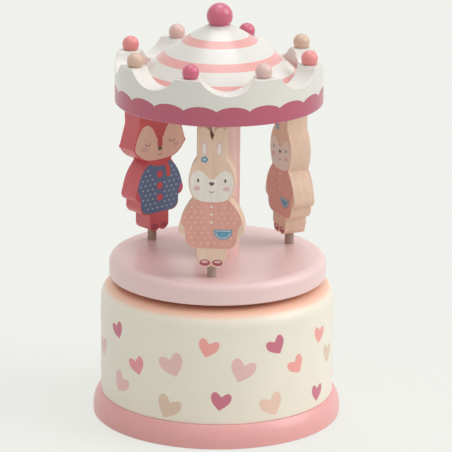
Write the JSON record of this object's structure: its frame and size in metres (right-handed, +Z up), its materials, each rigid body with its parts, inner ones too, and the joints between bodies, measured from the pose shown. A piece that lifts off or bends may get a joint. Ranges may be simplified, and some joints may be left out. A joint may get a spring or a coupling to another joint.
{
  "type": "carousel music box",
  "caption": "Turned wooden music box with a round carousel of animal figures under a scalloped canopy, wound by twisting the carousel, which turns back as the tune plays.",
  "frame": {"origin": "centre of the plinth's underside, on the floor", "axes": "+Z up along the carousel's axis, -Y towards the front rabbit, +X to the viewer's right"},
  "size_m": [0.115, 0.115, 0.1942],
  "materials": {
    "plinth_pink": "satin dusty pink paint",
    "drum_cream": "satin cream paint with printed hearts",
    "turntable_pink": "satin pale pink paint",
    "column_pink": "satin pink paint",
    "canopy_white": "satin white paint with plum scallops and pink rings",
    "plum": "gloss plum pink paint",
    "pale_pink": "gloss pale pink paint",
    "coral": "gloss coral paint",
    "tan": "gloss tan paint",
    "bare_wood": "sanded bare wood",
    "fox_red": "satin red paint with printed faces",
    "brass": "polished",
    "steel": "bright",
    "zinc": "plain die casting",
    "nylon": "plain moulding"
  },
  "bodies": {
    "base": {"base_plinth": "plinth_pink", "plinth_screws": "steel", "drum_shell": "drum_cream", "deck_bush": "brass", "thrust_washer": "nylon", "movement_bedplate": "zinc", "bedplate_screws": "steel", "spring_barrel": "brass", "mainspring": "steel", "cylinder_bearing_inner": "brass", "cylinder_bearing_outer": "brass", "comb_block": "zinc", "tuned_comb": "steel", "comb_screws": "steel", "governor_bearing_inner": "brass", "governor_bracket": "steel", "governor_bracket_screw": "steel"},
    "carousel": {"winding_arbor": "steel", "crown_wheel": "brass", "clutch_spring": "steel", "arbor_clip": "steel", "turntable_hub": "steel", "hub_screws": "steel", "turntable": "turntable_pink", "column": "column_pink", "peg_rabbit_front": "bare_wood", "peg_rabbit_side": "bare_wood", "peg_fox": "bare_wood", "figure_rabbit_front": "bare_wood", "figure_rabbit_side": "bare_wood", "figure_fox": "fox_red", "canopy_ring": "canopy_white", "canopy_dome": "canopy_white", "finial_ball": "plum", "finial_dowel": "bare_wood", "bead_1": "plum", "bead_2": "pale_pink", "bead_3": "coral", "bead_4": "tan", "bead_5": "plum", "bead_6": "pale_pink", "bead_7": "coral", "bead_8": "tan", "bead_pins": "bare_wood"},
    "cylinder": {"cylinder_axle": "steel", "pinned_cylinder": "brass", "cylinder_pinion": "brass", "cylinder_wheel": "brass"},
    "governor_wheel": {"governor_arbor": "steel", "governor_pinion": "brass", "worm_wheel": "brass"},
    "governor_worm": {"worm_spindle": "steel", "governor_fan": "nylon"}
  },
  "joints": [
    {"name": "carousel_spin", "type": "hinge", "parent": "base", "child": "carousel", "pos_m": [0, 0, 0.0635], "axis": [0, 0, 1], "continuous": true},
    {"name": "cylinder_spin", "type": "hinge", "parent": "base", "child": "cylinder", "pos_m": [0.026, 0, 0.045], "axis": [1, 0, 0], "continuous": true},
    {"name": "governor_wheel_spin", "type": "hinge", "parent": "base", "child": "governor_wheel", "pos_m": [0.03, -0.012, 0.045], "axis": [1, 0, 0], "continuous": true},
    {"name": "governor_worm_spin", "type": "hinge", "parent": "base", "child": "governor_worm", "pos_m": [0.027, -0.018, 0.045], "axis": [0, 0, 1], "continuous": true}
  ],
  "couplings": [
    {"joint": "cylinder_spin", "follows": "carousel_spin", "ratio": 2},
    {"joint": "governor_wheel_spin", "follows": "carousel_spin", "ratio": -6},
    {"joint": "governor_worm_spin", "follows": "carousel_spin", "ratio": -108}
  ]
}
